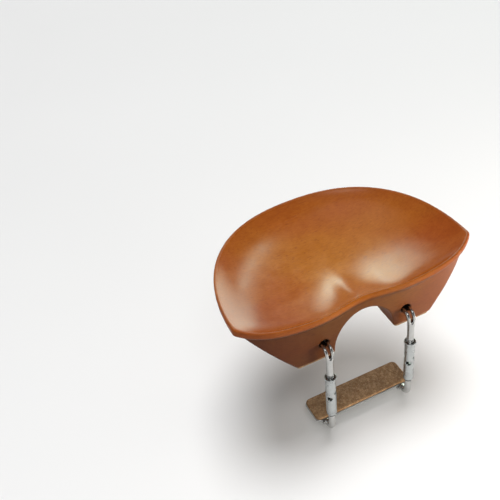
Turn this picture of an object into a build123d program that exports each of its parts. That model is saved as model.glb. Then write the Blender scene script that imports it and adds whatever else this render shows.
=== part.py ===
"""Violin chin rest with a two-legged barrel clamp, in millimetres.

Frame: +Z up. z = 0 is the underside of the top corks, where they rest on the violin's top edge.
x = 0 is the plane of symmetry, and y = 0 is the outermost edge of the violin, which lies at +Y.
"""
from build123d import *
from math import cos, exp, pi, radians, sin
import os

# Cup outline, seen from above
cup_half_width = 52.5
corner_y = 7.0            # y of the two pointed front corners
back_reach = 57.0         # from the corners to the back of the rim
side_power = 2.25         # fullness of the outline towards the sides
back_power = 2.3          # fullness of the outline towards the back
front_y = -1.6            # y of the two front lobes
recess_depth = 3.1        # dip between the lobes
recess_width = 13.0
corner_sweep = 8.6        # how far the front edge sweeps back to reach the corners
corner_power = 6

# Cup height and hollow
crest_z = 26.15           # rim height above the clamp line
crest_y = 30.0
crest_tilt = 1.92         # rise of the rim over crest_y towards the back
crest_bow = 0.84
crest_side_rise = 3.62    # rise of the rim at crest_half_span from the middle
crest_half_span = 50.0
hollow_depth = 8.5
front_fall = 8.5          # distance in which the front of the hollow falls away
side_fall = 0.45          # the same for sides and back, as a share of the outline
plate_thickness = 3.6
surface_step = 3.0        # spacing of the points that the hollow's surface is drawn through

# Relief of the hollow, fading out at the front edge
ridge_height = 0.46       # low swelling that runs back from the dip in the front edge
ridge_y = 13.2
ridge_half_width = 3.2
ridge_length = 7.4
dish_depth = 1.26         # shallow dishes on both sides of it
dish_x = 7.8
dish_y = 18.4
dish_reach = 18.0
scoop_depth = 1.78        # longer scoops along the front edge
scoop_x = 13.0
scoop_half_length = 16.0
scoop_half_width = 7.5
relief_fade = 2.2         # distance from the front edge in which the relief fades

# Front wall, feet and arch
wall_inset = 1.8          # the lobes of the rim overhang the wall by this
wall_dip_share = 0.4      # how much of the dip between the lobes the wall follows
foot_half_span = 31.0
foot_back = 14.0
wall_top_half_span = 51.0
wall_top_back = 24.0
wall_top_z = 26.0
arch_half_width = 13.5
arch_centre_z = 2.0
arch_height = 15.3

# Corks
cork_thickness = 1.5
cork_inset = 0.7
cork_corner = 1.2
lower_cork_thickness = 1.2

# Clamp
leg_x = 18.6
leg_y = -3.6
violin_edge = 37.6        # thickness of the violin at its edge, held between the corks
rod_radius = 1.45         # M3 thread, as a plain rod
thread_gap = 0.05         # radial clearance in the barrel
strap_width = 3.6
strap_thickness = 1.9
strap_z = 9.0
strap_bend = 3.0
strap_end_y = 11.5
strap_start_z = 4.3
neck_length = 1.8         # where the round rod spreads into the flat strap
slot_width = 1.6
slot_bottom_z = 5.3
slot_end_y = 10.0
upper_rod_end = -14.3
mouth_width = 4.8
mouth_height = 5.0
mouth_depth = 2.0
fit_gap = 0.05            # between the strap and its mortise

# Wood screws that hold the straps
screw_y = 7.6
screw_radius = 0.8
screw_head_radius = 2.6
screw_head_height = 1.6
screw_tip_z = 17.0
screw_tip_height = 2.0
washer_face_z = 5.2       # where the screw head seats inside the foot

# Barrels
barrel_radius = 2.15
barrel_top = -6.2
barrel_bottom = -29.0
lip_radius = 2.5
lip_height = 0.6
lip_taper = 0.8
counterbore_radius = 1.85
counterbore_depth = 1.2
key_hole_radius = 1.1
key_hole_lower_z = -18.2
key_hole_upper_z = -15.4
key_hole_azimuth = 46.0   # the lower hole, from straight ahead towards -X

# Lower bracket
lower_rod_end = -20.2
lower_plate_thickness = 1.0
lower_bend = 3.0
tongue_width = 4.4
tongue_thickness = 1.1
lower_arm_end_y = 0.0
arm_offset = 0.5          # the round arm lies this much above the plate's underside
tongue_end_y = 10.0
lower_plate_half_width = 23.0
lower_plate_front = 1.2
lower_plate_back = 13.6
lower_plate_corner = 2.5
rivet_y = 6.0
rivet_radius = 1.0
rivet_head_radius = 1.7
rivet_head_height = 0.8

lower_cork_top = -violin_edge
lower_plate_top = lower_cork_top - lower_cork_thickness
lower_plate_bottom = lower_plate_top - lower_plate_thickness
tongue_bottom = lower_plate_bottom - tongue_thickness
lower_arm_z = lower_plate_bottom + arm_offset
foot_mid_x = (arch_half_width + foot_half_span) / 2


def front_edge(x, dip_share=1):
    """y of the cup's front edge: two lobes, a dip between them and swept corners."""
    dip = dip_share * recess_depth * exp(-((x / recess_width) ** 2))
    sweep_back = corner_sweep * (abs(x) / cup_half_width) ** corner_power
    return front_y + dip + sweep_back


def wall_front(x):
    """y of the front wall's face, under the rim."""
    return front_edge(x, wall_dip_share) + wall_inset


def back_edge(turn):
    """A point of the cup's side and back edge, for a turn of 0 (right) to pi (left)."""
    across = abs(cos(turn)) ** (2 / side_power)
    along = abs(sin(turn)) ** (2 / back_power)
    side = 1 if cos(turn) > 0 else -1
    return (side * across, along)


def rise(value, fall):
    """0 at an edge, levelling off at 1 inside, and straight on outside the edge."""
    return 1 - exp(-value / fall) if value > 0 else value / fall


def crest(x, y):
    """Height of the rim's crest, drawn across the whole cup."""
    along = (y - crest_y) / crest_y
    across = x / crest_half_span
    return crest_z + crest_tilt * along + crest_bow * along**2 + crest_side_rise * across**2


def relief(x, y, from_front):
    """Height that the ridge adds to the hollow, less what the dishes and scoops take away."""
    if from_front <= 0:
        return 0
    beside = abs(x)
    ridge = ridge_height * exp(-((x / ridge_half_width) ** 2) - ((y - ridge_y) / ridge_length) ** 2)
    dish = dish_depth * exp(-((beside - dish_x) ** 2 + (y - dish_y) ** 2) / dish_reach**2)
    scoop = scoop_depth * exp(-(((beside - scoop_x) / scoop_half_length) ** 2) - (y / scoop_half_width) ** 2)
    return (ridge - dish - scoop) * (1 - exp(-((from_front / relief_fade) ** 2)))


def cup_top(x, y):
    """Height of the cup's upper surface, from the crest down into the hollow."""
    back = (max(y - corner_y, 0) / back_reach) ** back_power
    inside = 1 - (abs(x) / cup_half_width) ** side_power - back
    from_front = y - front_edge(x)
    hollow = hollow_depth * rise(from_front, front_fall) * rise(inside, side_fall)
    return crest(x, y) - hollow + relief(x, y, from_front)


def hollow_surface(drop):
    """The cup's upper surface as one face, lowered by drop."""
    margin = surface_step
    across = round((cup_half_width + margin) * 2 / surface_step)
    along = round((back_reach + corner_y - front_y + 2 * margin) / surface_step)
    rows = []
    for i in range(across + 1):
        x = (i / across * 2 - 1) * (cup_half_width + margin)
        row = []
        for j in range(along + 1):
            y = front_y - margin + j * surface_step
            row.append((x, y, cup_top(x, y) - drop))
        rows.append(row)
    return Face.make_surface_from_array_of_points(rows, min_deg=3, max_deg=3)


def cup_outline(inset, dip_share=1):
    """The cup's outline on the XY plane, moved in by inset, with that share of the dip between the lobes."""
    half = cup_half_width - inset
    front = [(half * i / 8, front_edge(half * i / 8, dip_share) + inset) for i in range(-8, 9)]
    end_y = front[0][1]
    reach = corner_y + back_reach - inset - end_y
    back = []
    for i in range(13):
        across, along = back_edge(pi * i / 12)
        back.append((half * across, end_y + reach * along))
    with BuildSketch() as outline:
        with BuildLine():
            Spline(*front)
            Spline(*back)
        make_face()
    return outline.sketch


def make_wall():
    """Front wall: the body under the front of the cup, with two feet and the arch between them."""
    with BuildPart() as wall:
        with BuildSketch(Plane.XY.offset(cork_thickness)):
            with Locations((0, (foot_back - 6) / 2)):
                Rectangle(2 * foot_half_span, foot_back + 6)
        with BuildSketch(Plane.XY.offset(wall_top_z)):
            with Locations((0, (wall_top_back - 6) / 2)):
                Rectangle(2 * wall_top_half_span, wall_top_back + 6)
        loft(ruled=True)
        with BuildSketch(Plane.XY):
            add(cup_outline(wall_inset, wall_dip_share))
        extrude(amount=wall_top_z + 1, mode=Mode.INTERSECT)
        with BuildSketch(Plane.XZ):
            with Locations((0, arch_centre_z)):
                Ellipse(arch_half_width, arch_height)
            with Locations((0, arch_centre_z / 2)):
                Rectangle(2 * arch_half_width, arch_centre_z)
        extrude(amount=wall_top_back + 6, both=True, mode=Mode.SUBTRACT)
    return wall.part


def make_strap_space(x, gap):
    """The straight end of a strap, grown by gap, as the space that its mortise needs."""
    with BuildPart() as space:
        with BuildSketch(Plane((x, leg_y, strap_z), x_dir=(1, 0, 0), z_dir=(0, 1, 0))):
            Rectangle(strap_width + 2 * gap, strap_thickness + 2 * gap)
        extrude(amount=strap_end_y - leg_y + gap)
    return space.part


def make_chin_cup():
    """The carved wooden cup: dished plate, front wall and feet, with what is let into the feet."""
    wall = make_wall()
    under_surface = hollow_surface(plate_thickness)
    upper_surface = hollow_surface(0)
    tool_height = 2 * crest_z
    with BuildPart() as chin_cup:
        with BuildSketch(Plane.XY):
            add(cup_outline(0))
        extrude(amount=crest_z + 8)
        extrude(under_surface, amount=tool_height, dir=(0, 0, -1), mode=Mode.SUBTRACT)
        add(wall)
        extrude(upper_surface, amount=tool_height, dir=(0, 0, 1), mode=Mode.SUBTRACT)
        for x in (-leg_x, leg_x):
            add(make_strap_space(x, fit_gap), mode=Mode.SUBTRACT)
            mouth_plane = Plane((x, leg_y, strap_z), x_dir=(1, 0, 0), z_dir=(0, 1, 0))
            with BuildSketch(mouth_plane):
                Ellipse(mouth_width / 2, mouth_height / 2)
            mouth_reach = wall_front(x) + mouth_depth - leg_y
            extrude(amount=mouth_reach, mode=Mode.SUBTRACT)
            with BuildSketch(Plane((x, screw_y, 0))):
                Circle(screw_head_radius + fit_gap)
            extrude(amount=washer_face_z, mode=Mode.SUBTRACT)
            with BuildSketch(Plane((x, screw_y, 0))):
                Circle(screw_radius + fit_gap)
            extrude(amount=screw_tip_z + fit_gap, mode=Mode.SUBTRACT)
    return chin_cup.part


def make_top_cork(side):
    """Cork under one foot, with a hole that leaves the screw within reach."""
    width = foot_half_span - arch_half_width - 2 * cork_inset
    front = wall_front(leg_x) + cork_inset
    depth = foot_back - cork_inset - front
    with BuildPart() as cork:
        with BuildSketch(Plane.XY):
            with Locations((side * foot_mid_x, front + depth / 2)):
                RectangleRounded(width, depth, cork_corner)
            with Locations((side * leg_x, screw_y)):
                Circle(screw_head_radius, mode=Mode.SUBTRACT)
        extrude(amount=cork_thickness)
    return cork.part


def make_upper_leg(x):
    """Threaded rod that spreads into a flat slotted strap, bent over into the foot."""
    neck_z = strap_start_z - neck_length
    with BuildPart() as leg:
        with BuildSketch(Plane((x, leg_y, upper_rod_end))):
            Circle(rod_radius)
        extrude(amount=neck_z - upper_rod_end)
        chamfer(leg.edges().sort_by(Axis.Z)[0], 0.3)
        with BuildSketch(Plane((x, leg_y, neck_z))):
            Circle(rod_radius)
        with BuildSketch(Plane((x, leg_y, strap_start_z))):
            RectangleRounded(strap_width, strap_thickness, strap_thickness / 3)
        loft()
        with BuildLine(Plane.YZ.offset(x)) as path:
            FilletPolyline(
                (leg_y, strap_start_z), (leg_y, strap_z), (strap_end_y, strap_z), radius=strap_bend
            )
        with BuildSketch(Plane((x, leg_y, strap_start_z))):
            RectangleRounded(strap_width, strap_thickness, strap_thickness / 3)
        sweep(path=path.wires()[0])
        with BuildSketch(Plane.YZ.offset(x)):
            slot_height = strap_z + strap_thickness - slot_bottom_z
            slot_length = slot_end_y - leg_y + strap_thickness
            with Locations((slot_end_y - slot_length / 2, slot_bottom_z + slot_height / 2)):
                Rectangle(slot_length, slot_height)
        extrude(amount=slot_width / 2, both=True, mode=Mode.SUBTRACT)
    return leg.part


def make_leg_screw(x):
    """Wood screw that passes up through the slot of the strap."""
    axis = Axis((x, screw_y, 0), (0, 0, 1))
    head_bottom = washer_face_z - screw_head_height
    with BuildPart() as screw:
        with BuildSketch(Plane((x, screw_y, 0), x_dir=(1, 0, 0), z_dir=(0, -1, 0))):
            with BuildLine():
                Polyline(
                    (0, head_bottom),
                    (screw_head_radius, head_bottom),
                    (screw_head_radius, washer_face_z),
                    (screw_radius, washer_face_z),
                    (screw_radius, screw_tip_z - screw_tip_height),
                    (0, screw_tip_z),
                    close=True,
                )
            make_face()
        revolve(axis=axis)
        with BuildSketch(Plane((x, screw_y, head_bottom))):
            Rectangle(2 * screw_head_radius, screw_radius)
        extrude(amount=screw_head_height / 2, mode=Mode.SUBTRACT)
    return screw.part


def make_barrel(x):
    """Turnbuckle barrel with a flared lip, a counterbore and two crossed key holes."""
    axis = Axis((x, leg_y, 0), (0, 0, 1))
    bore = rod_radius + thread_gap
    lip_bottom = barrel_top - lip_height
    with BuildPart() as barrel:
        with BuildSketch(Plane((x, leg_y, 0), x_dir=(1, 0, 0), z_dir=(0, -1, 0))):
            with BuildLine():
                Polyline(
                    (bore, barrel_bottom),
                    (barrel_radius, barrel_bottom),
                    (barrel_radius, lip_bottom - lip_taper),
                    (lip_radius, lip_bottom),
                    (lip_radius, barrel_top),
                    (counterbore_radius, barrel_top),
                    (counterbore_radius, barrel_top - counterbore_depth),
                    (bore, barrel_top - counterbore_depth),
                    close=True,
                )
            make_face()
        revolve(axis=axis)
        outer_foot = barrel.edges().group_by(Axis.Z)[0].sort_by(SortBy.RADIUS)[-1]
        chamfer(outer_foot, 0.25)
        lower_hole = (key_hole_lower_z, key_hole_azimuth)
        upper_hole = (key_hole_upper_z, key_hole_azimuth + 90)
        for hole_z, azimuth in (lower_hole, upper_hole):
            way = (-sin(radians(azimuth)), -cos(radians(azimuth)), 0)
            with BuildSketch(Plane((x, leg_y, hole_z), z_dir=way)):
                Circle(key_hole_radius)
            extrude(amount=2 * barrel_radius, both=True, mode=Mode.SUBTRACT)
    return barrel.part


def make_lower_leg(x):
    """Threaded rod with an L-bend that flattens into a tongue under the plate."""
    tongue_mid_z = (lower_plate_bottom + tongue_bottom) / 2
    facing_back = {"x_dir": (1, 0, 0), "z_dir": (0, 1, 0)}
    with BuildPart() as leg:
        with BuildLine(Plane.YZ.offset(x)) as path:
            FilletPolyline(
                (leg_y, lower_rod_end),
                (leg_y, lower_arm_z),
                (lower_arm_end_y, lower_arm_z),
                radius=lower_bend,
            )
        with BuildSketch(Plane((x, leg_y, lower_rod_end))):
            Circle(rod_radius)
        sweep(path=path.wires()[0])
        chamfer(leg.edges().sort_by(Axis.Z)[-1], 0.3)
        with BuildSketch(Plane((x, lower_arm_end_y, lower_arm_z), **facing_back)):
            Circle(rod_radius)
        with BuildSketch(Plane((x, lower_plate_front, tongue_mid_z), **facing_back)):
            RectangleRounded(tongue_width, tongue_thickness, tongue_thickness / 3)
        loft()
        with BuildSketch(Plane.XY.offset(tongue_bottom)):
            with Locations((x, (lower_plate_front + tongue_end_y) / 2)):
                Rectangle(tongue_width, tongue_end_y - lower_plate_front)
            with Locations((x, tongue_end_y)):
                Circle(tongue_width / 2)
            with Locations((x, rivet_y)):
                Circle(rivet_radius, mode=Mode.SUBTRACT)
        extrude(amount=tongue_thickness)
    return leg.part


def lower_outline(inset):
    """Outline of the lower plate on the XY plane, moved in by inset."""
    width = 2 * (lower_plate_half_width - inset)
    depth = lower_plate_back - lower_plate_front - 2 * inset
    with BuildSketch() as outline:
        with Locations((0, (lower_plate_front + lower_plate_back) / 2)):
            RectangleRounded(width, depth, lower_plate_corner)
    return outline.sketch


def make_lower_plate():
    """Steel plate on the tongues of the lower legs, with the two rivet holes."""
    with BuildPart() as plate:
        with BuildSketch(Plane.XY.offset(lower_plate_bottom)):
            add(lower_outline(0))
            with Locations((-leg_x, rivet_y), (leg_x, rivet_y)):
                Circle(rivet_radius, mode=Mode.SUBTRACT)
        extrude(amount=lower_plate_thickness)
    return plate.part


def make_lower_cork():
    """Cork on the lower plate, against the violin's back."""
    with BuildPart() as cork:
        with BuildSketch(Plane.XY.offset(lower_plate_top)):
            add(lower_outline(0.3))
        extrude(amount=lower_cork_thickness)
    return cork.part


def make_rivets():
    """Two rivets through the tongues and the plate, with domed heads below."""
    dome_radius = (rivet_head_radius**2 + rivet_head_height**2) / (2 * rivet_head_height)
    head_bottom = tongue_bottom - rivet_head_height
    with BuildPart() as rivets:
        for x in (-leg_x, leg_x):
            with BuildSketch(Plane((x, rivet_y, 0), x_dir=(1, 0, 0), z_dir=(0, -1, 0))):
                with BuildLine():
                    Line((0, head_bottom), (0, lower_plate_top))
                    Line((0, lower_plate_top), (rivet_radius, lower_plate_top))
                    Line((rivet_radius, lower_plate_top), (rivet_radius, tongue_bottom))
                    Line((rivet_radius, tongue_bottom), (rivet_head_radius, tongue_bottom))
                    RadiusArc((rivet_head_radius, tongue_bottom), (0, head_bottom), dome_radius)
                make_face()
            revolve(axis=Axis((x, rivet_y, 0), (0, 0, 1)))
    return rivets.part


def write(part, label):
    part.label = label
    export_step(part, f"parts/{label}.step")


os.makedirs("parts", exist_ok=True)
write(make_chin_cup(), "chin_cup")
for side, word in ((-1, "left"), (1, "right")):
    write(make_top_cork(side), f"top_cork_{word}")
    write(make_upper_leg(side * leg_x), f"upper_leg_{word}")
    write(make_leg_screw(side * leg_x), f"leg_screw_{word}")
    write(make_barrel(side * leg_x), f"barrel_{word}")
    write(make_lower_leg(side * leg_x), f"lower_leg_{word}")
write(make_lower_plate(), "lower_plate")
write(make_lower_cork(), "lower_cork")
write(make_rivets(), "plate_rivets")
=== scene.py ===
import bpy
import math
import numpy as np
from mathutils import Matrix, Vector
from mathutils import noise as mathutils_noise


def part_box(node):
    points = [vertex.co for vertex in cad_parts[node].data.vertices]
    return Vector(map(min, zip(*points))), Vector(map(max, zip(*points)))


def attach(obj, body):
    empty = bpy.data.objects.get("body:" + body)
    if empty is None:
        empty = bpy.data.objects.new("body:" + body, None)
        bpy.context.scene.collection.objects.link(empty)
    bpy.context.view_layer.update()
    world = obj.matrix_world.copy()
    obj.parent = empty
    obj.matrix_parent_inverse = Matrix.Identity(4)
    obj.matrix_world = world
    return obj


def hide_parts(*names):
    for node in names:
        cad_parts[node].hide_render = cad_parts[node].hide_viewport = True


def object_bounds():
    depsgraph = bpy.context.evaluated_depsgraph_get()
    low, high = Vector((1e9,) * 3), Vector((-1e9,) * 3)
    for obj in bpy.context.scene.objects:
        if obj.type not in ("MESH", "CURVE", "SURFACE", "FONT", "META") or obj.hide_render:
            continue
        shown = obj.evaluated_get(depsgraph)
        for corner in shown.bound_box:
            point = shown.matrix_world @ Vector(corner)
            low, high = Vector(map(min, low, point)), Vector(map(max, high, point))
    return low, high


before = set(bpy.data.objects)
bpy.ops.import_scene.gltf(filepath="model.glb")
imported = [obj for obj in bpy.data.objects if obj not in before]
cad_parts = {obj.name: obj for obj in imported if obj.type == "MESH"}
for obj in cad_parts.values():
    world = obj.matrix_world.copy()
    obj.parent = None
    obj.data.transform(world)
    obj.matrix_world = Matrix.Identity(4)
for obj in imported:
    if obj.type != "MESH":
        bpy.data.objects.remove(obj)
cad_box = [[float(v) for v in corner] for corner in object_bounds()]

MM = 0.001


def box_mm(node):
    """A CAD node's lowest and highest corners in millimetres."""
    low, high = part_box(node)
    return [v / MM for v in low], [v / MM for v in high]


# ---------------------------------------------------------------- camera

camera_place = (-0.11816, -0.18952, 0.24906)    # m
camera_azimuth = 21.24      # degrees from +Y towards +X
camera_elevation = 41.37    # degrees looking down
camera_roll = 6.86          # degrees
lens = 59.6                 # mm
sensor_width = 36.0         # mm
nearest_seen = 0.01         # m


def make_camera():
    """Camera at the photograph's viewing angle."""
    azimuth, down, roll = (math.radians(a) for a in (camera_azimuth, camera_elevation, camera_roll))
    ahead = math.cos(down)
    forward = Vector((math.sin(azimuth) * ahead, math.cos(azimuth) * ahead, -math.sin(down)))
    level = Vector((math.cos(azimuth), -math.sin(azimuth), 0))
    above = level.cross(forward)
    right = level * math.cos(roll) - above * math.sin(roll)
    up = right.cross(forward)
    data = bpy.data.cameras.new("camera")
    data.lens = lens
    data.sensor_width = sensor_width
    data.clip_start = nearest_seen
    camera = bpy.data.objects.new("camera", data)
    turn = Matrix((right, up, -forward)).transposed()
    camera.matrix_world = Matrix.Translation(camera_place) @ turn.to_4x4()
    bpy.context.scene.collection.objects.link(camera)
    bpy.context.scene.camera = camera


make_camera()

# ---------------------------------------------------------------- node helpers


def new_material(name):
    """A new node material, returned with its tree and its shader."""
    material = bpy.data.materials.new(name)
    material.use_nodes = True
    tree = material.node_tree
    shader = tree.nodes["Principled BSDF"]
    return material, tree, shader


def add_node(tree, kind, **settings):
    """A node whose settings are inputs or properties of that name."""
    node = tree.nodes.new(kind)
    for key, value in settings.items():
        if key in node.inputs:
            node.inputs[key].default_value = value
        else:
            setattr(node, key, value)
    return node


def link(tree, source, target):
    """A wire from an output to an input."""
    tree.links.new(source, target)


def stretched_coordinates(tree, scale):
    """Object coordinates in metres, scaled per axis."""
    where = add_node(tree, "ShaderNodeTexCoord")
    mapping = add_node(tree, "ShaderNodeMapping")
    mapping.inputs["Scale"].default_value = scale
    link(tree, where.outputs["Object"], mapping.inputs["Vector"])
    return mapping.outputs["Vector"]


def noise(tree, vector, scale, detail=3.0, roughness=0.5):
    """Fractal noise between 0 and 1; the scale is in cells to the metre."""
    node = add_node(tree, "ShaderNodeTexNoise", Scale=scale, Detail=detail, Roughness=roughness)
    link(tree, vector, node.inputs["Vector"])
    return node.outputs["Fac"]


def ramp(tree, factor, stops):
    """Colour ramp with (position, colour) stops."""
    node = add_node(tree, "ShaderNodeValToRGB")
    elements = node.color_ramp.elements
    while len(elements) < len(stops):
        elements.new(0.5)
    for element, (position, colour) in zip(elements, stops):
        element.position = position
        element.color = (*colour, 1)
    link(tree, factor, node.inputs["Fac"])
    return node.outputs["Color"]


def mix_colours(tree, factor, first, second, blend="MIX"):
    """Mix of two colours; each argument is a socket or a constant."""
    node = add_node(tree, "ShaderNodeMix", data_type="RGBA", blend_type=blend)
    for value, socket in ((factor, node.inputs[0]), (first, node.inputs[6]), (second, node.inputs[7])):
        if isinstance(value, bpy.types.NodeSocket):
            link(tree, value, socket)
        else:
            socket.default_value = value if isinstance(value, float) else (*value, 1)
    return node.outputs[2]


def map_range(tree, value, from_low, from_high, to_low, to_high):
    """The value carried from one range to another, clamped at its ends."""
    node = add_node(tree, "ShaderNodeMapRange")
    link(tree, value, node.inputs["Value"])
    limits = {"From Min": from_low, "From Max": from_high, "To Min": to_low, "To Max": to_high}
    for name, number in limits.items():
        node.inputs[name].default_value = number
    return node.outputs["Result"]


def bump(tree, height, strength, distance, previous=None):
    """A normal that the height tilts, on top of a previous one if there is one."""
    node = add_node(tree, "ShaderNodeBump", Strength=strength, Distance=distance)
    link(tree, height, node.inputs["Height"])
    if previous is not None:
        link(tree, previous, node.inputs["Normal"])
    return node.outputs["Normal"]


# ---------------------------------------------------------------- materials


def vertex_value(tree, name):
    """A number between 0 and 1 that the mesh carries at each point."""
    node = add_node(tree, "ShaderNodeAttribute", attribute_name=name)
    return node.outputs["Fac"]


def distance_share(tree, centre, radius):
    """1 at a centre given in millimetres, falling to 0 at the radius."""
    where = add_node(tree, "ShaderNodeTexCoord")
    offset = add_node(tree, "ShaderNodeVectorMath", operation="DISTANCE")
    link(tree, where.outputs["Object"], offset.inputs[0])
    offset.inputs[1].default_value = [c * MM for c in centre]
    return map_range(tree, offset.outputs["Value"], 0, radius * MM, 1, 0)


painted_light_centre = (0, 24, 18)          # mm, centre of the painted light, where the wood is painted lightest
painted_light_radius = 44                   # mm, over which the painted light fades to the darker outer colours
# outer colours are painted shade towards the rim, inner colours painted light in the middle of the hollow
outer_dark = (0.35, 0.078, 0.009)
outer_light = (0.40, 0.114, 0.012)
inner_dark = (0.45, 0.114, 0.009)
inner_light = (0.49, 0.172, 0.010)
mottle_shade = (0.88, 0.82, 0.78)       # these two multiply the wood's colour
grain_shade = (0.84, 0.78, 0.72)
fleck_colour = (0.17, 0.04, 0.008)
painted_wall_shade = (0.31, 0.41, 1.2)          # painted shade: multiplies the wood's colour on the walls, which stand in shadow
# near-black painted shadow under the lip and inside the mouths
painted_shadow_colour = (0.022, 0.009, 0.004)
white = (1.0, 1.0, 1.0)
drift_scale = 38                        # cells to the metre
cloud_scale = 190
fibre_scale = 1300
fleck_scale = 2300
fleck_share = 0.35
polished_roughness = (0.20, 0.27)
matt_roughness_rise = 0.25
polished_specular = 0.5
matt_specular = 0.09
lacquer_ior = 1.5
fine_bump = 0.05


def wood_colour(tree, clouds, fibres, flecks):
    """The wood's colour, with painted light that makes the middle of the hollow lighter, and painted shade
    where the mesh says so.
    """
    drift = noise(tree, stretched_coordinates(tree, (0.6, 1, 1)), drift_scale, detail=3)
    outer = ramp(tree, drift, [(0.35, outer_dark), (0.65, outer_light)])
    inner = ramp(tree, drift, [(0.35, inner_dark), (0.65, inner_light)])
    # painted light: lighter in the middle of the hollow, darker towards the rim
    base = mix_colours(tree, distance_share(tree, painted_light_centre, painted_light_radius), outer, inner)
    mottle = ramp(tree, clouds, [(0.3, mottle_shade), (0.7, white)])
    grain = ramp(tree, fibres, [(0.3, grain_shade), (0.7, white)])
    clouded = mix_colours(tree, 1.0, base, mottle, "MULTIPLY")
    colour = mix_colours(tree, 1.0, clouded, grain, "MULTIPLY")
    fleck_mask = map_range(tree, flecks, 0.60, 0.70, 0, fleck_share)
    colour = mix_colours(tree, fleck_mask, colour, fleck_colour)
    # painted shade on the walls, as much as the mesh's "wall" share says
    shaded_wall_colour = mix_colours(tree, 1.0, colour, painted_wall_shade, "MULTIPLY")
    colour = mix_colours(tree, vertex_value(tree, "wall"), colour, shaded_wall_colour)
    # painted shadow: near black under the lip and in the mouths
    return mix_colours(tree, vertex_value(tree, "painted_shadow"), colour, painted_shadow_colour)


def make_wood():
    """Satin-lacquered boxwood with fine grain along X, short dark flecks, and duller walls with painted
    shade.

    The cup's mesh carries "wall", "matt" and "stain": painted shade on the walls, a duller finish, and a
    near-black painted shadow under the lip and in the mouths.
    """
    material, tree, shader = new_material("boxwood")
    clouds = noise(tree, stretched_coordinates(tree, (1, 1, 1)), cloud_scale, detail=4, roughness=0.6)
    fibres = noise(tree, stretched_coordinates(tree, (0.35, 1, 1)), fibre_scale, detail=4, roughness=0.65)
    flecks = noise(tree, stretched_coordinates(tree, (0.22, 1, 1)), fleck_scale, detail=1)
    colour = wood_colour(tree, clouds, fibres, flecks)
    link(tree, colour, shader.inputs["Base Color"])
    polished = map_range(tree, clouds, 0.3, 0.7, *polished_roughness)
    matt = vertex_value(tree, "matt")
    roughness = add_node(tree, "ShaderNodeMath", operation="MULTIPLY_ADD")
    link(tree, matt, roughness.inputs[0])
    roughness.inputs[1].default_value = matt_roughness_rise
    link(tree, polished, roughness.inputs[2])
    link(tree, roughness.outputs["Value"], shader.inputs["Roughness"])
    specular = map_range(tree, matt, 0, 1, polished_specular, matt_specular)
    link(tree, specular, shader.inputs["Specular IOR Level"])
    normal = bump(tree, flecks, fine_bump, 0.0002)
    link(tree, bump(tree, fibres, fine_bump, 0.0002, normal), shader.inputs["Normal"])
    shader.inputs["IOR"].default_value = lacquer_ior
    return material


along_axis = (1, 1, 0.05)                # stretch of the tool marks, per axis
around_axis = (0.04, 0.04, 1)
across_sheet = (0.05, 1, 1)
smudge_scale = 300
smudge_dulling = 0.85
gloss_range = (0.75, 1.35)              # the roughness varies between these shares of itself
streak_shade = (0.92, 0.92, 0.92)


def make_metal(name, colour, roughness, scale, stretch):
    """Plated metal with fine tool marks and a few handling smudges."""
    material, tree, shader = new_material(name)
    marks = noise(tree, stretched_coordinates(tree, stretch), scale, detail=3)
    smudge = noise(tree, stretched_coordinates(tree, (1, 1, 1)), smudge_scale, detail=4)
    dull = tuple(c * smudge_dulling for c in colour)
    base = ramp(tree, smudge, [(0.35, dull), (0.6, colour)])
    streaks = ramp(tree, marks, [(0.35, streak_shade), (0.65, white)])
    link(tree, mix_colours(tree, 1.0, base, streaks, "MULTIPLY"), shader.inputs["Base Color"])
    gloss = map_range(tree, smudge, 0.3, 0.7, *(roughness * share for share in gloss_range))
    link(tree, gloss, shader.inputs["Roughness"])
    link(tree, bump(tree, marks, fine_bump, 0.0001), shader.inputs["Normal"])
    shader.inputs["Metallic"].default_value = 1.0
    return material


cork_grains_per_metre = 950.0
cork_pits_per_metre = 2400
cork_dark = (0.30, 0.165, 0.075)
cork_pale = (0.47, 0.29, 0.15)
cork_joint = (0.14, 0.07, 0.03)
cork_pit = (0.08, 0.04, 0.02)


def make_cork():
    """Agglomerated cork: pale grains, dark joints between them and small dark pits."""
    material, tree, shader = new_material("cork")
    where = stretched_coordinates(tree, (1, 1, 1))
    cells = add_node(tree, "ShaderNodeTexVoronoi", Scale=cork_grains_per_metre)
    link(tree, where, cells.inputs["Vector"])
    edges = add_node(tree, "ShaderNodeTexVoronoi", Scale=cork_grains_per_metre, feature="DISTANCE_TO_EDGE")
    link(tree, where, edges.inputs["Vector"])
    speckle = noise(tree, where, cork_pits_per_metre, detail=3)
    grains = ramp(tree, cells.outputs["Color"], [(0.2, cork_dark), (0.8, cork_pale)])
    joints = map_range(tree, edges.outputs["Distance"], 0.0, 0.08, 0.6, 0)
    colour = mix_colours(tree, joints, grains, cork_joint)
    pits = map_range(tree, speckle, 0.60, 0.68, 0, 0.8)
    link(tree, mix_colours(tree, pits, colour, cork_pit), shader.inputs["Base Color"])
    shader.inputs["Roughness"].default_value = 0.85
    normal = bump(tree, edges.outputs["Distance"], 0.3, 0.0003)
    link(tree, bump(tree, speckle, 0.35, 0.0003, normal), shader.inputs["Normal"])
    return material


wood = make_wood()
leg_metal = make_metal("leg_nickel", (0.53, 0.53, 0.515), 0.17, scale=2600, stretch=along_axis)
barrel_metal = make_metal("barrel_nickel", (0.50, 0.52, 0.515), 0.30, scale=5200, stretch=around_axis)
plate_metal = make_metal("plate_nickel", (0.56, 0.56, 0.55), 0.32, scale=2600, stretch=across_sheet)
screw_metal = make_metal("screw_steel", (0.50, 0.50, 0.50), 0.35, scale=2600, stretch=around_axis)
cork = make_cork()

# ---------------------------------------------------------------- implicit surfaces


def smooth_min(a, b, radius):
    """Union of two distance fields with a fillet."""
    h = np.clip(0.5 + 0.5 * (b - a) / radius, 0, 1)
    return b + (a - b) * h - radius * h * (1 - h)


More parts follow.
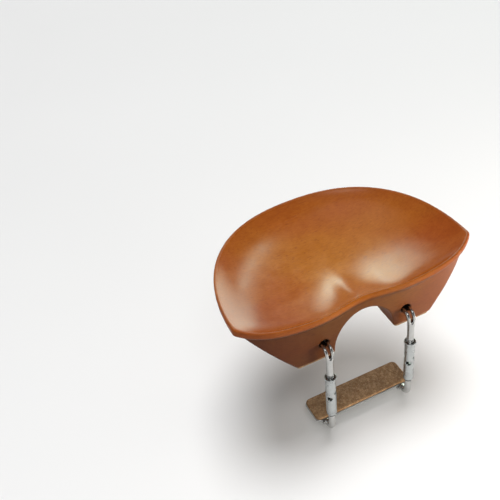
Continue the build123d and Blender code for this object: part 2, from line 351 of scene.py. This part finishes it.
def smooth_max(a, b, radius):
    """Intersection of two distance fields with a rounded edge."""
    return -smooth_min(-a, -b, radius)


def ease(start, end, share):
    """From start to end, slow at both, as the share goes from 0 to 1."""
    return start + (end - start) * share * share * (3 - 2 * share)


def edge_ends(axis, across):
    """Slices that take the first and second end of each grid edge along an axis."""
    first = [across] * 3
    second = [across] * 3
    first[axis] = slice(0, -1)
    second[axis] = slice(1, None)
    return tuple(first), tuple(second)


def crossing_points(value, grid, step):
    """The mean place where the surface crosses the edges of each grid cell.

    Also returns an array that gives each cell's row among the points, or -1.
    """
    shape = [n - 1 for n in value.shape]
    total = np.zeros(shape + [3])
    count = np.zeros(shape)
    for axis in range(3):
        first, second = edge_ends(axis, slice(None))
        v0, v1 = value[first], value[second]
        cross = (v0 < 0) != (v1 < 0)
        share = np.where(cross, v0 / np.where(cross, v0 - v1, 1), 0)
        points = [grid[a][first] + (share * step if a == axis else 0) for a in range(3)]
        others = [a for a in range(3) if a != axis]
        for da, db in ((0, 0), (0, 1), (1, 0), (1, 1)):
            part = [slice(None)] * 3
            part[others[0]] = slice(da, da + shape[others[0]])
            part[others[1]] = slice(db, db + shape[others[1]])
            part = tuple(part)
            count += cross[part]
            for a in range(3):
                total[..., a] += np.where(cross[part], points[a][part], 0)
    used = count > 0
    row = np.full(shape, -1)
    row[used] = np.arange(used.sum())
    return total[used] / count[used][:, None], row


def crossing_quads(value, row):
    """A quad facing outwards for each grid edge that the surface crosses."""
    quads = []
    for axis in range(3):
        first, second = edge_ends(axis, slice(1, -1))
        v0, v1 = value[first], value[second]
        others = [(axis + 1) % 3, (axis + 2) % 3]
        for leaving in (True, False):
            where = np.argwhere(((v0 < 0) != (v1 < 0)) & ((v0 < 0) == leaving))
            corners = []
            for da, db in ((0, 0), (1, 0), (1, 1), (0, 1)):
                cell = where.copy()
                cell[:, others[0]] += da
                cell[:, others[1]] += db
                corners.append(row[cell[:, 0], cell[:, 1], cell[:, 2]])
            if not leaving:
                corners.reverse()
            quads.append(np.stack(corners, axis=1))
    return np.concatenate(quads).tolist()


def surface_net(field, low, high, step):
    """Closed quad mesh of the surface where field is 0, inside a box."""
    axes = [np.arange(low[a] - 2 * step, high[a] + 3 * step, step) for a in range(3)]
    grid = np.meshgrid(*axes, indexing="ij")
    value = field(*grid)
    points, row = crossing_points(value, grid, step)
    return points, crossing_quads(value, row)


def settle(field, points, rounds, reach):
    """Moves points onto the field's zero surface by small Newton steps."""
    nudge = 0.01
    least_slope = 0.1
    for _ in range(rounds):
        here = field(*points.T)
        slope = np.empty_like(points)
        for axis in range(3):
            moved = points.copy()
            moved[:, axis] += nudge
            slope[:, axis] = (field(*moved.T) - here) / nudge
        step = -here[:, None] * slope / np.maximum((slope**2).sum(axis=1), least_slope)[:, None]
        points = points + np.clip(step, -reach, reach)
    return points


def add_vertex_value(piece, name, values):
    """Stores a number at each point, for vertex_value to read."""
    attribute = piece.data.attributes.new(name, "FLOAT", "POINT")
    attribute.data.foreach_set("value", np.asarray(values, dtype=np.float32))


def mesh_object(name, vertices, faces, material):
    """Smooth-shaded object from millimetre points."""
    mesh = bpy.data.meshes.new(name)
    mesh.from_pydata((vertices * MM).tolist(), [], faces)
    mesh.shade_smooth()
    mesh.materials.append(material)
    piece = bpy.data.objects.new(name, mesh)
    bpy.context.scene.collection.objects.link(piece)
    return piece


def stand_in(name, vertices, faces, material, body, node):
    """Mesh object that rides on a body and takes a CAD node's place."""
    piece = mesh_object(name, vertices, faces, material)
    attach(piece, body)
    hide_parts(node)
    return piece


# ---------------------------------------------------------------- the cup

cup_low, cup_high = box_mm("chin_cup")
barrel_low, barrel_high = box_mm("barrel_right")
leg_x = (barrel_low[0] + barrel_high[0]) / 2
leg_y = (barrel_low[1] + barrel_high[1]) / 2
strap_thickness = 1.9
strap_z = box_mm("upper_leg_right")[1][2] - strap_thickness / 2

# Outline, rim and hollow, as in the CAD part
half_width = cup_high[0]
corner_y = 7.0
back_reach = cup_high[1] - corner_y
side_power = 2.25
back_power = 2.3
front_y = -1.6
recess_depth = 3.1
recess_width = 13.0
corner_sweep = 8.6
corner_power = 6
crest_z = 26.15
crest_y = 30.0
crest_tilt = 1.92
crest_bow = 0.84
crest_side_rise = 3.62
crest_half_span = 50.0
hollow_depth = 8.5
front_fall = 8.5
side_fall = 0.45
ridge_height = 0.46       # low swelling that runs back from the dip in the front edge
ridge_y = 13.2
ridge_half_width = 4.4
ridge_length = 7.4
ridge_round = 2.4         # rounds the crease between the two sides
dish_depth = 1.26         # shallow dishes on both sides of it
dish_x = 7.8
dish_y = 18.4
dish_reach = 18.0
scoop_depth = 1.78        # longer scoops along the front edge
scoop_x = 13.0
scoop_half_length = 16.0
scoop_half_width = 7.5
relief_fade = 2.2         # distance from the front edge in which all three fade out
plate_thickness = 3.6
wall_inset = 1.8
wall_dip_share = 0.4

# Front wall, feet and arch
foot_half_span = 31.0
foot_back = 14.0
foot_z = cup_low[2]
wall_top_half_span = 51.0
wall_top_back = 24.0
wall_top_z = 26.0
arch_half_width = 13.5
arch_centre_z = 2.0
arch_height = 15.3
mouth_half_width = 2.1
mouth_half_height = 2.0
mouth_depth = 4.5

# Rounding of the edges and fillets
corner_round = 0.7
rim_round = 1.3
lip_round = 1.1
plate_fillet = 0.4
wall_back_round = 4.0
wall_front_round = 1.2
arch_round = 0.9
foot_round = 0.4
wall_below_top = 1.2      # the wall stops this far under the hollow's surface
wall_top_round = 0.5
body_fillet = 0.9
mouth_round = 0.6
slope_allowance = 0.85    # turns a height over the sloping hollow into a distance
least_outline_slope = 0.02

# Finish, and painted shade on the walls, under the lip and in the mouths
wall_fade = 0.8           # the wall's painted shade and duller finish start over this height at the lip's lower edge
painted_shade_middle = 0.92   # share of painted shade at the middle of the wall
painted_shade_slope = 0.0085  # how much less painted shade for each mm to the right, where the wall stands more in the light
outer_face_painted_shade = 0.3     # share of painted shade on the rim's outer face
polish_fade = 1.5         # the polish fades over this width at the rim
# near-black painted shadow under the lip and inside the mouths
lip_shadow_width = 0.7        # width of that painted shadow under the lip
lip_shadow_share = 0.55
mouth_shadow_reach = 0.15

# Mesh
cup_step = 0.45
cup_rounds = 5
cup_reach = 0.2


def front_edge(x, dip_share=1.0):
    """The y of the cup's front edge, which dips in the middle and sweeps back at the corners."""
    dip = dip_share * recess_depth * np.exp(-((x / recess_width) ** 2))
    return front_y + dip + corner_sweep * (np.abs(x) / half_width) ** corner_power


def rise(value, fall):
    """0 at the edge, nearing 1 over the distance in which the hollow falls away."""
    return np.where(value > 0, 1 - np.exp(-np.maximum(value, 0) / fall), value / fall)


def inside_share(x, y):
    """1 in the middle of the cup, 0 on the outline of its sides and back."""
    back = (np.maximum(y - corner_y, 0) / back_reach) ** back_power
    return 1 - (np.abs(x) / half_width) ** side_power - back


def crest(x, y):
    """Height of the rim's surface, without the hollow."""
    along = (y - crest_y) / crest_y
    return crest_z + crest_tilt * along + crest_bow * along**2 + crest_side_rise * (x / crest_half_span) ** 2


def relief(x, y, from_front):
    """Height that the ridge adds to the hollow, less what the dishes and scoops take away."""
    beside = np.hypot(x, ridge_round)
    ridge = ridge_height * np.exp(-((x / ridge_half_width) ** 2) - ((y - ridge_y) / ridge_length) ** 2)
    dish = dish_depth * np.exp(-((beside - dish_x) ** 2 + (y - dish_y) ** 2) / dish_reach**2)
    scoop_along = (beside - scoop_x) / scoop_half_length
    scoop = scoop_depth * np.exp(-(scoop_along**2) - (y / scoop_half_width) ** 2)
    return (ridge - dish - scoop) * (1 - np.exp(-((np.maximum(from_front, 0) / relief_fade) ** 2)))


def cup_top(x, y):
    """Height of the cup's upper surface."""
    from_front = y - front_edge(x)
    hollow = hollow_depth * rise(from_front, front_fall) * rise(inside_share(x, y), side_fall)
    return crest(x, y) - hollow + relief(x, y, from_front)


def outline_distance(x, y, dip_share=1.0):
    """About the distance outside the cup's outline, negative inside."""
    slope = corner_power * corner_sweep / half_width * (np.abs(x) / half_width) ** (corner_power - 1)
    front = (front_edge(x, dip_share) - y) / np.sqrt(1 + slope**2)
    share = inside_share(x, y)
    grad_x = side_power / half_width * (np.abs(x) / half_width) ** (side_power - 1)
    grad_y = back_power / back_reach * (np.maximum(y - corner_y, 0) / back_reach) ** (back_power - 1)
    sides = -share / np.maximum(np.hypot(grad_x, grad_y), least_outline_slope)
    return smooth_max(front, sides, corner_round)


def wall_field(x, y, z):
    """The body under the front of the cup, with its feet and the arch between them."""
    height = wall_top_z - foot_z
    side_run = wall_top_half_span - foot_half_span
    side = ((np.abs(x) - foot_half_span) * height - (z - foot_z) * side_run) / math.hypot(height, side_run)
    back_run = wall_top_back - foot_back
    back = ((y - foot_back) * height - (z - foot_z) * back_run) / math.hypot(height, back_run)
    tall = np.maximum(z - arch_centre_z, 0)
    arch = (1 - np.hypot(x / arch_half_width, tall / arch_height)) * arch_half_width
    wall = smooth_max(side, back, wall_back_round)
    wall = smooth_max(wall, outline_distance(x, y, wall_dip_share) + wall_inset, wall_front_round)
    wall = smooth_max(wall, arch, arch_round)
    return smooth_max(wall, foot_z - z, foot_round)


def mouth_field(x, y, z):
    """The two oval mouths that take the straps, negative inside."""
    across = (np.abs(x) - leg_x) / mouth_half_width
    up = (z - strap_z) / mouth_half_height
    deep = y - front_edge(leg_x, wall_dip_share) - wall_inset - mouth_depth
    return np.maximum((np.hypot(across, up) - 1) * mouth_half_width, deep)


def cup_field(x, y, z):
    """Distance-like field of the whole cup, negative in the wood."""
    outline = outline_distance(x, y)
    top = (z - cup_top(x, y)) * slope_allowance
    under = (cup_top(x, y) - plate_thickness - z) * slope_allowance
    upper = smooth_max(top, outline, rim_round)
    plate = smooth_max(upper, smooth_max(under, outline, lip_round), plate_fillet)
    wall = smooth_max(wall_field(x, y, z), top + wall_below_top, wall_top_round)
    body = smooth_min(plate, wall, body_fillet)
    return smooth_max(body, -mouth_field(x, y, z), mouth_round)


def make_cup():
    """The carved cup, with the shares of its duller finish and of its painted shade stored at each point of
    its mesh.
    """
    vertices, quads = surface_net(cup_field, cup_low, cup_high, cup_step)
    vertices = settle(cup_field, vertices, cup_rounds, cup_reach)
    cup = stand_in("chin_cup_carved", vertices, quads, wood, "chin_rest", "chin_cup")
    x, y, z = vertices.T
    below_lip = cup_top(x, y) - plate_thickness - z
    # painted shade on the walls: darker on the left, lighter to the right, where the wall stands more in the
    # light
    shade = np.clip(painted_shade_middle - painted_shade_slope * x, 0, 1)
    wall = np.clip(below_lip / wall_fade + 0.5, 0, 1) * shade
    outer_face = np.clip(outline_distance(x, y) / polish_fade + 1, 0, 1)
    # painted shadow along the lip's lower edge
    crease = lip_shadow_share * np.exp(-((below_lip / lip_shadow_width) ** 2))
    # painted shade: the mouths' insides turn near black
    mouth = mouth_field(x, y, z) < mouth_shadow_reach
    # "wall" holds the painted shade, "matt" the duller finish, "stain" the near-black painted shadow
    add_vertex_value(cup, "wall", np.maximum(wall, outer_face_painted_shade * outer_face))
    add_vertex_value(cup, "matt", np.maximum(wall, outer_face))
    add_vertex_value(cup, "painted_shadow", np.where(mouth, 1, crease))


make_cup()

# ---------------------------------------------------------------- the clamp

rod_radius = 1.45
thread_pitch = 0.5
thread_depth = 0.28
thread_gap = 0.05
strap_bend = 3.0
strand_radius = 0.58
strand_flat = 0.35          # half the flat height between a strand's rounded faces
strand_spread = 1.20        # each strand's centre from the middle of the strap
slot_bottom_z = 5.3
thread_top_z = -4.7
lower_thread_bottom_z = -30.4
thread_overlap = 0.6        # how far a thread runs on inside the smooth rod
plain_overlap = 0.1         # how far the smooth rod runs on over the thread
plain_end_round = 0.3
leg_step = 0.2
leg_rounds = 3
leg_reach = 0.1
net_margin = 0.5            # room for the smooth rod's end in the leg's net
leg_places = (("left", -leg_x), ("right", leg_x))


def bent_path(y, z, bend_y, bend_z, radius, straight_y):
    """Along and beside a path that comes up the line y = straight_y and bends over towards +Y.

    The bend is a quarter turn about (bend_y, bend_z). Returns the length past the start of the bend
    and the distance beside the path, positive on the inner side.
    """
    inner_y = y - bend_y
    inner_z = z - bend_z
    nearly_zero = 1e-6
    turned = np.arctan2(np.maximum(inner_z, 0), np.maximum(-inner_y, nearly_zero)) * radius
    in_bend = (inner_y < 0) & (inner_z > 0)
    past_bend = (inner_y >= 0) & (inner_z > -radius / 2)
    length = np.where(in_bend, turned, np.where(past_bend, radius * math.pi / 2 + inner_y, inner_z))
    beside = np.where(past_bend, radius - inner_z, y - straight_y)
    beside = np.where(in_bend, radius - np.hypot(inner_y, inner_z), beside)
    return length, beside


def threaded_rod(name, x, low_z, high_z, turn, body):
    """A rod along Z with a real helical thread between chamfered ends; turn is 1 or -1 for its hand."""
    around = 40
    rows_per_pitch = 10
    chamfer = 0.5
    rows = int((high_z - low_z) / thread_pitch * rows_per_pitch)
    angles = np.arange(around) * 2 * math.pi / around
    z, angle = np.meshgrid(np.linspace(low_z, high_z, rows + 1), angles, indexing="ij")
    wave = np.abs(((z / thread_pitch + turn * angle / (2 * math.pi)) % 1) * 2 - 1)
    radius = rod_radius - thread_depth * wave
    end = np.minimum(z - low_z, high_z - z)
    radius = np.minimum(radius, rod_radius - chamfer + end)
    points = np.stack([x + radius * np.cos(angle), leg_y + radius * np.sin(angle), z], axis=-1)
    points = points.reshape(-1, 3)
    ends = np.array([[x, leg_y, low_z], [x, leg_y, high_z]])
    faces = []
    for row in range(rows):
        for k in range(around):
            a, b = row * around + k, row * around + (k + 1) % around
            faces.append([a, b, b + around, a + around])
    bottom, top = len(points), len(points) + 1
    for k in range(around):
        after = (k + 1) % around
        faces.append([bottom, after, k])
        faces.append([top, rows * around + k, rows * around + after])
    rod = mesh_object(name, np.concatenate([points, ends]), faces, leg_metal)
    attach(rod, body)


rod_end_before = 0.4        # the rod ends this far before the fork, along the path
rod_end_round = 1.0
closed_spread = 0.62        # each strand's centre from the middle where they are still one
opening_before = 2.2
opening_length = 4.0
strand_start_before = 2.6
strand_start_round = 0.8
strap_end_round = 0.2
fork_fillet = 0.7


def make_upper_leg(side, x):
    """Round rod that parts into two strands around the eye and bends over into the foot."""
    node = "upper_leg_" + side
    low, high = box_mm(node)
    bend_z = strap_z - strap_bend
    bend_y = leg_y + strap_bend
    fork = slot_bottom_z - bend_z       # length along the path at which the strands part
    net_low = [low[0], low[1], thread_top_z - net_margin]

    def field(px, py, pz):
        length, beside = bent_path(py, pz, bend_y, bend_z, strap_bend, leg_y)
        across = np.abs(px - x)
        rod_end = length - fork + rod_end_before
        rod = smooth_max(np.hypot(across, beside) - rod_radius, rod_end, rod_end_round)
        rod = smooth_max(rod, thread_top_z - pz - plain_overlap, plain_end_round)
        opening = np.clip((length - fork + opening_before) / opening_length, 0, 1)
        spread = ease(closed_spread, strand_spread, opening)
        past_flat = np.maximum(np.abs(beside) - strand_flat, 0)
        strand = np.hypot(across - spread, past_flat) - strand_radius
        strand = smooth_max(strand, fork - strand_start_before - length, strand_start_round)
        strand = smooth_max(strand, py - high[1], strap_end_round)
        return smooth_min(rod, strand, fork_fillet)

    vertices, quads = surface_net(field, net_low, high, leg_step)
    vertices = settle(field, vertices, leg_rounds, leg_reach)
    stand_in("upper_leg_eye_" + side, vertices, quads, leg_metal, "chin_rest", node)
    thread_end = thread_top_z + thread_overlap
    threaded_rod("upper_leg_thread_" + side, x, low[2], thread_end, 1, "chin_rest")


barrel_radius = 2.15
barrel_lip_height = 0.7
flare_height = 0.7
bore_radius = rod_radius + thread_gap
counterbore_radius = 1.95
counterbore_depth = 1.2
counterbore_slope = 0.3
barrel_end_round = 0.45
bore_round = 0.12
key_hole_radius = 1.1
key_hole_round = 0.3
key_holes = ((-18.2, 46.0), (-15.4, 136.0))     # height and azimuth of each
barrel_step = 0.17
barrel_rounds = 4
barrel_reach = 0.08


def make_barrel(side, x):
    """Turned barrel with a flared lip, a counterbore and two crossed key holes, its edges broken."""
    node = "barrel_" + side
    low, high = box_mm(node)
    lip_radius = (high[0] - low[0]) / 2

    def field(px, py, pz):
        radius = np.hypot(px - x, py - leg_y)
        up = np.clip((pz - (high[2] - barrel_lip_height - flare_height)) / flare_height, 0, 1)
        outer = ease(barrel_radius, lip_radius, up)
        shape = smooth_max(radius - outer, pz - high[2], barrel_end_round)
        shape = smooth_max(shape, low[2] - pz, barrel_end_round)
        step_in = np.clip((pz - (high[2] - counterbore_depth)) / counterbore_slope, 0, 1)
        inner = bore_radius + (counterbore_radius - bore_radius) * step_in
        shape = smooth_max(shape, inner - radius, bore_round)
        for hole_z, azimuth in key_holes:
            way_x = -math.sin(math.radians(azimuth))
            way_y = -math.cos(math.radians(azimuth))
            beside = (px - x) * way_y - (py - leg_y) * way_x
            hole = key_hole_radius - np.hypot(beside, pz - hole_z)
            shape = smooth_max(shape, hole, key_hole_round)
        return shape

    vertices, quads = surface_net(field, low, high, barrel_step)
    vertices = settle(field, vertices, barrel_rounds, barrel_reach)
    stand_in("barrel_turned_" + side, vertices, quads, barrel_metal, node, node)


arm_bend = 3.0
arm_rise = 0.5              # the arm's middle over the plate's underside
arm_end_before = 0.3        # the round arm ends this far before the plate
arm_end_round = 0.8
tongue_thickness = 1.1
tongue_width = 4.4
tongue_side_round = 1.2
tongue_edge_round = 0.35
tongue_start_y = 0.2
tongue_start_round = 0.8
tongue_fillet = 0.8
plate_gap = 0.02            # the tongue and its fillet stop this far over the plate's underside


def make_lower_leg(side, x):
    """Round rod with an L-bend that flattens into a tongue under the plate."""
    node = "lower_leg_" + side
    low, high = box_mm(node)
    plate_low = box_mm("lower_plate")[0]
    arm_z = plate_low[2] + arm_rise
    tongue_end_y = high[1] - tongue_width / 2
    net_high = [high[0], high[1], lower_thread_bottom_z + net_margin]

    def field(px, py, pz):
        beside = bent_path(py, -pz, leg_y + arm_bend, -arm_z - arm_bend, arm_bend, leg_y)[1]
        across = px - x
        arm_end = py - plate_low[1] + arm_end_before
        rod = smooth_max(np.hypot(across, beside) - rod_radius, arm_end, arm_end_round)
        rod = smooth_max(rod, pz - lower_thread_bottom_z - plain_overlap, plain_end_round)
        tongue_y = np.maximum(py - tongue_end_y, 0)
        past_side = np.maximum(np.abs(across) - tongue_width / 2 + tongue_side_round, 0)
        rounded = np.hypot(across, tongue_y) - tongue_width / 2
        tongue = np.where(tongue_y > 0, rounded, past_side - tongue_side_round)
        sheet = np.abs(pz - (plate_low[2] - tongue_thickness / 2)) - tongue_thickness / 2
        tongue = smooth_max(tongue, sheet, tongue_edge_round)
        tongue = smooth_max(tongue, tongue_start_y - py, tongue_start_round)
        return np.where(pz > plate_low[2] + plate_gap, rod, smooth_min(rod, tongue, tongue_fillet))

    vertices, quads = surface_net(field, low, net_high, leg_step)
    vertices = settle(field, vertices, leg_rounds, leg_reach)
    stand_in("lower_leg_bent_" + side, vertices, quads, leg_metal, "lower_bracket", node)
    thread_start = lower_thread_bottom_z - thread_overlap
    threaded_rod("lower_leg_thread_" + side, x, thread_start, high[2], -1, "lower_bracket")


for side, x in leg_places:
    make_upper_leg(side, x)
    make_barrel(side, x)
    make_lower_leg(side, x)

# ---------------------------------------------------------------- corks and plate

sheet_step = 0.3
sheet_rounds = 3
coarse_grain = 1.7          # cells to the mm
fine_grain = 3.9
fine_grain_share = 0.5


def grain_depth(point, grain):
    """How deep the surface of cork is pitted at a point."""
    where = Vector(point)
    coarse = mathutils_noise.noise(where * coarse_grain)
    fine = mathutils_noise.noise(where * fine_grain)
    return grain * max(coarse + fine_grain_share * fine, 0)


def sheet_piece(node, name, material, body, corner, edge, holes=(), grain=0.0):
    """A flat piece with rounded corners and broken edges; grain roughens its surface."""
    low, high = box_mm(node)
    middle = [(a + b) / 2 for a, b in zip(low, high)]
    half = [(b - a) / 2 for a, b in zip(low, high)]

    def field(px, py, pz):
        beyond_x = np.maximum(np.abs(px - middle[0]) - half[0] + corner, 0)
        beyond_y = np.maximum(np.abs(py - middle[1]) - half[1] + corner, 0)
        shape = smooth_max(np.hypot(beyond_x, beyond_y) - corner, np.abs(pz - middle[2]) - half[2], edge)
        for hole_x, hole_y, radius in holes:
            shape = smooth_max(shape, radius - np.hypot(px - hole_x, py - hole_y), edge / 2)
        return shape

    vertices, quads = surface_net(field, low, high, sheet_step)
    vertices = settle(field, vertices, sheet_rounds, sheet_step / 2)
    if grain:
        for point in vertices:
            inward = (np.array(middle) - point) / np.array(half)
            axis = int(np.argmax(np.abs(inward)))
            point[axis] += math.copysign(grain_depth(point, grain), inward[axis])
    stand_in(name, vertices, quads, material, body, node)


screw_y = 7.6
cork_hole_radius = 2.6
for side, x in leg_places:
    sheet_piece(
        "top_cork_" + side, "top_cork_cut_" + side, cork, "chin_rest",
        corner=1.2, edge=0.35, holes=[(x, screw_y, cork_hole_radius)], grain=0.1,
    )
sheet_piece(
    "lower_cork", "lower_cork_cut", cork, "lower_bracket",
    corner=2.2, edge=0.4, grain=0.12,
)
sheet_piece(
    "lower_plate", "lower_plate_pressed", plate_metal, "lower_bracket",
    corner=2.5, edge=0.35,
)

# ---------------------------------------------------------------- CAD pieces that stay

node_materials = {"leg_screw": screw_metal, "plate_rivets": plate_metal}
for name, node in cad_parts.items():
    for start, material in node_materials.items():
        if name.startswith(start):
            node.data.materials.clear()
            node.data.materials.append(material)

# ---------------------------------------------------------------- stage

clamp_opening = 0.006       # m, how far the lower bracket goes down
floor_z = cad_box[0][2] - clamp_opening
floor_half_size = 2.0       # m
floor_dark = (0.80, 0.80, 0.80)
floor_pale = (0.83, 0.83, 0.83)
floor_roughness = 0.9
light_aim = Vector((0, 0.02, 0.015))    # m
skylight_angle = 30         # degrees
wall_light = 0.7            # strength of the surroundings at the horizon
ceiling_light = 0.12        # and overhead


def make_floor():
    """A large pale sheet, level with the foot of the lower bracket when the clamp is wide open."""
    mesh = bpy.data.meshes.new("floor")
    signs = ((-1, -1), (1, -1), (1, 1), (-1, 1))
    corners = [(floor_half_size * x, floor_half_size * y, floor_z) for x, y in signs]
    mesh.from_pydata(corners, [], [(0, 1, 2, 3)])
    material, tree, shader = new_material("floor_paper")
    shade = noise(tree, stretched_coordinates(tree, (1, 1, 1)), 3, detail=2)
    colour = ramp(tree, shade, [(0.3, floor_dark), (0.7, floor_pale)])
    link(tree, colour, shader.inputs["Base Color"])
    shader.inputs["Roughness"].default_value = floor_roughness
    mesh.materials.append(material)
    floor = bpy.data.objects.new("floor", mesh)
    bpy.context.scene.collection.objects.link(floor)


def light_way(azimuth, elevation):
    """Direction towards a light; azimuth is from +Y towards +X, in degrees."""
    turn, up = math.radians(azimuth), math.radians(elevation)
    return Vector((math.sin(turn) * math.cos(up), math.cos(turn) * math.cos(up), math.sin(up)))


def add_softbox(name, azimuth, elevation, size, power, colour=white, roll=0, distance=0.9, part="both"):
    """Area light aimed at the chin rest, turned by roll about its own axis.

    Its part is "sheen" for highlights only, "fill" for everything but highlights, or "both".
    """
    way = light_way(azimuth, elevation)
    data = bpy.data.lights.new(name, "AREA")
    data.shape = "RECTANGLE"
    data.size, data.size_y = size
    data.energy = power
    data.color = colour
    light = bpy.data.objects.new(name, data)
    light.location = light_aim + way * distance
    aim = (-way).to_track_quat("-Z", "Y").to_matrix().to_4x4()
    light.rotation_euler = (aim @ Matrix.Rotation(math.radians(roll), 4, "Z")).to_euler()
    light.visible_camera = False
    light.visible_glossy = part != "fill"
    light.visible_diffuse = part != "sheen"
    bpy.context.scene.collection.objects.link(light)


def add_skylight(name, azimuth, elevation, strength):
    """Even light from above with soft shadows; it makes no highlights."""
    data = bpy.data.lights.new(name, "SUN")
    data.energy = strength
    data.angle = math.radians(skylight_angle)
    light = bpy.data.objects.new(name, data)
    light.rotation_euler = (-light_way(azimuth, elevation)).to_track_quat("-Z", "Y").to_euler()
    light.visible_glossy = False
    bpy.context.scene.collection.objects.link(light)


def make_world():
    """Pale studio walls that darken overhead."""
    world = bpy.data.worlds.new("world")
    world.use_nodes = True
    tree = world.node_tree
    where = add_node(tree, "ShaderNodeTexCoord")
    parts = add_node(tree, "ShaderNodeSeparateXYZ")
    link(tree, where.outputs["Generated"], parts.inputs["Vector"])
    strength = map_range(tree, parts.outputs["Z"], 0.1, 0.35, wall_light, ceiling_light)
    background = tree.nodes["Background"]
    link(tree, strength, background.inputs["Strength"])
    background.inputs["Color"].default_value = (*white, 1)
    bpy.context.scene.world = world


window_colour = (0.79, 1.0, 0.84)
card_colour = (1, 0.94, 0.84)
make_floor()
add_softbox(
    "high_window", azimuth=22, elevation=41.7, size=(0.12, 0.46), power=1.75,
    colour=window_colour, part="sheen",
)
add_softbox(
    "low_window", azimuth=49, elevation=11.3, size=(0.43, 0.62), power=3.3,
    colour=window_colour, roll=24, part="sheen",
)
add_softbox(
    "far_window", azimuth=56, elevation=46, size=(0.08, 0.40), power=0.75,
    colour=window_colour, roll=18, part="sheen",
)
add_softbox("front_card", azimuth=200, elevation=58, size=(0.34, 0.34), power=1.5)
add_skylight("skylight", azimuth=25, elevation=82, strength=2.5)
add_softbox(
    "side_card", azimuth=125, elevation=-3, size=(0.18, 0.06), power=1.05,
    colour=card_colour, distance=0.3, part="fill",
)
make_world()
bpy.context.scene.view_settings.view_transform = "Standard"
